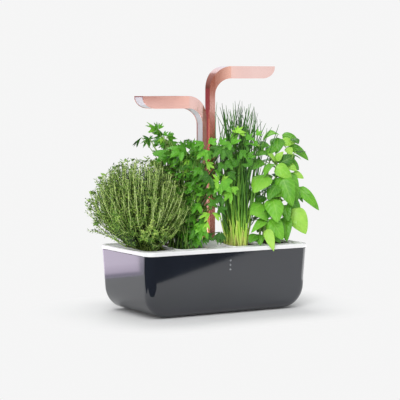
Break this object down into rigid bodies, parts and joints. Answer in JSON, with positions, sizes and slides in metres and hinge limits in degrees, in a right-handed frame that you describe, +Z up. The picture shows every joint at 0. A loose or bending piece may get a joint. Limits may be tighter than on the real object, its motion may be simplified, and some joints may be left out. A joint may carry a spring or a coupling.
{
  "type": "indoor herb planter",
  "caption": "Self-watering indoor herb planter: dark tank, white tray with lift-out herb cartridges, and a pair of grow lamps that slide up on a mast.",
  "frame": {"origin": "middle of the base, on the surface that the planter stands on", "axes": "+Z up, -Y to the front wall with the inlays, +X towards the taller lamp"},
  "size_m": [0.4515, 0.197, 0.4725],
  "materials": {
    "tank": "glossy dark slate injection moulding",
    "rubber": "matt soft rubber",
    "silver_inlay": "plain polished discs",
    "tray": "glossy white moulding",
    "inner_white": "plain white moulding",
    "steel": "zinc plated screws",
    "circuit_board": "solder-masked circuit board",
    "black_plastic": "black moulding",
    "button": "glossy white button",
    "float": "foamed float",
    "magnet": "sintered magnet",
    "contact_metal": "spring contact metal",
    "copper_shell": "smooth, anodised in a rose copper",
    "white_panel": "white moulding",
    "heat_sink": "finned extrusion",
    "lens": "opal diffuser",
    "cup": "thin white moulded cup",
    "growing_block": "spongy growing medium",
    "wick": "felt strip",
    "thyme": "living leaves and woody twigs",
    "parsley": "living leaves and stems",
    "chive": "living hollow blades",
    "basil": "living soft leaves"
  },
  "bodies": {
    "tank": {"tank": "tank", "feet": "rubber", "front_inlays": "silver_inlay"},
    "tray": {"tray": "tray", "tray_seal": "rubber", "arm_well": "inner_white", "control_box": "inner_white", "well_screws": "steel", "box_screws": "steel", "control_board": "circuit_board", "button_switch": "black_plastic", "power_inlet": "black_plastic", "level_stem": "inner_white", "stem_clip": "inner_white", "contact_block": "black_plastic", "contact_leaves": "contact_metal", "grip_pads": "rubber"},
    "mode_button": {"mode_button": "button"},
    "level_float": {"level_float": "float", "float_magnet": "magnet"},
    "left_lamp": {"left_arm_shell": "copper_shell", "left_inner_panel": "white_panel", "left_led_board": "circuit_board", "left_heat_sink": "heat_sink", "left_led_lens": "lens", "left_contact_strips": "contact_metal"},
    "right_lamp": {"right_arm_shell": "copper_shell", "right_inner_panel": "white_panel", "right_led_board": "circuit_board", "right_heat_sink": "heat_sink", "right_led_lens": "lens", "right_contact_strips": "contact_metal"},
    "thyme_cartridge": {"thyme_cup": "cup", "thyme_growing_block": "growing_block", "thyme_wick": "wick", "thyme_plant": "thyme"},
    "parsley_cartridge": {"parsley_cup": "cup", "parsley_growing_block": "growing_block", "parsley_wick": "wick", "parsley_plant": "parsley"},
    "chive_cartridge": {"chive_cup": "cup", "chive_growing_block": "growing_block", "chive_wick": "wick", "chive_plant": "chive"},
    "basil_cartridge": {"basil_cup": "cup", "basil_growing_block": "growing_block", "basil_wick": "wick", "basil_plant": "basil"}
  },
  "joints": [
    {"name": "tray_lift", "type": "slide", "parent": "tank", "child": "tray", "axis": [0, 0, 1], "range_m": [0, 0.13]},
    {"name": "left_lamp_slide", "type": "slide", "parent": "tray", "child": "left_lamp", "axis": [0, 0, 1], "range_m": [0, 0.08]},
    {"name": "right_lamp_slide", "type": "slide", "parent": "tray", "child": "right_lamp", "axis": [0, 0, 1], "range_m": [-0.0575, 0.0225]},
    {"name": "thyme_lift", "type": "slide", "parent": "tray", "child": "thyme_cartridge", "axis": [0, 0, 1], "range_m": [0, 0.07]},
    {"name": "parsley_lift", "type": "slide", "parent": "tray", "child": "parsley_cartridge", "axis": [0, 0, 1], "range_m": [0, 0.07]},
    {"name": "chive_lift", "type": "slide", "parent": "tray", "child": "chive_cartridge", "axis": [0, 0, 1], "range_m": [0, 0.07]},
    {"name": "basil_lift", "type": "slide", "parent": "tray", "child": "basil_cartridge", "axis": [0, 0, 1], "range_m": [0, 0.07]},
    {"name": "float_rise", "type": "slide", "parent": "tray", "child": "level_float", "axis": [0, 0, 1], "range_m": [0, 0.036]},
    {"name": "button_press", "type": "slide", "parent": "tray", "child": "mode_button", "axis": [0, 0, 1], "range_m": [-0.0012, 0], "stiffness_N_per_m": 400, "springref_m": 0.0015}
  ]
}
